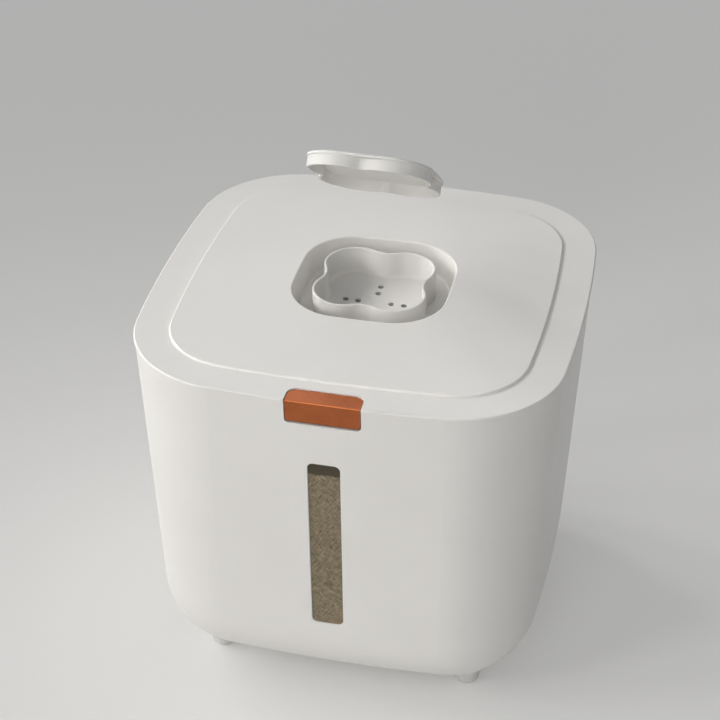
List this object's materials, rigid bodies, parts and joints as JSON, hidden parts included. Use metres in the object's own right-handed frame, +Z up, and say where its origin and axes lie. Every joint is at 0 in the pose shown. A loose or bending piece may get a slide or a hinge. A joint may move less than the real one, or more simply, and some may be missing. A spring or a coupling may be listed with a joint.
{
  "type": "rice bin",
  "caption": "Tapered rounded-square bin with a flip lid, copper press latch, front level window, short feet and a four-lobed spice cup with its own cover.",
  "frame": {"origin": "on the floor, midway between the four feet", "axes": "+Z up, +X to the right as seen from the front, the latch and window towards -Y"},
  "size_m": [0.3, 0.3077, 0.3711],
  "materials": {
    "white_shell": "satin moulded polypropylene, fine grain",
    "white_inner": "satin moulded polypropylene",
    "white_cup": "smooth semi-gloss moulding",
    "foot_plastic": "satin soft-touch plastic",
    "smoked_pane": "see-through smoked plastic",
    "copper_button": "copper metallic coating on plastic",
    "seal_rubber": "soft grey silicone",
    "screw_steel": "zinc plated",
    "pin_steel": "ground steel",
    "spring_steel": "drawn spring wire",
    "keeper_steel": "stamped sheet"
  },
  "bodies": {
    "bucket": {"bucket": "white_shell", "window_pane": "smoked_pane", "mouth_ring": "white_inner", "latch_keeper": "keeper_steel", "keeper_screws": "screw_steel", "hinge_pin_left": "pin_steel", "hinge_pin_right": "pin_steel", "foot_front_left": "foot_plastic", "foot_front_right": "foot_plastic", "foot_rear_left": "foot_plastic", "foot_rear_right": "foot_plastic"},
    "lid": {"lid_shell": "white_shell", "lid_liner": "white_inner", "lid_seal": "seal_rubber", "liner_screws": "screw_steel", "latch_pin": "pin_steel", "latch_spring_left": "spring_steel", "latch_spring_right": "spring_steel"},
    "button": {"latch_button": "copper_button"},
    "cup": {"spice_cup": "white_cup"},
    "cover": {"spice_cover": "white_cup"}
  },
  "joints": [
    {"name": "lid_hinge", "type": "hinge", "parent": "bucket", "child": "lid", "pos_m": [0, 0.154, 0.2595], "axis": [-1, 0, 0], "range_deg": [0, 100]},
    {"name": "latch_press", "type": "hinge", "parent": "lid", "child": "button", "pos_m": [0, -0.1381, 0.2634], "axis": [1, 0, 0], "range_deg": [0, 7], "stiffness_Nm_per_rad": 0.4, "deforming": ["latch_spring_left", "latch_spring_right"]},
    {"name": "cup_lift", "type": "slide", "parent": "lid", "child": "cup", "axis": [0, 0, 1], "range_m": [0, 0.045]},
    {"name": "cover_swing", "type": "hinge", "parent": "cup", "child": "cover", "pos_m": [0, 0.118, 0.2704], "axis": [0.9971, 0, 0.0767], "range_deg": [0, 39.4]}
  ]
}
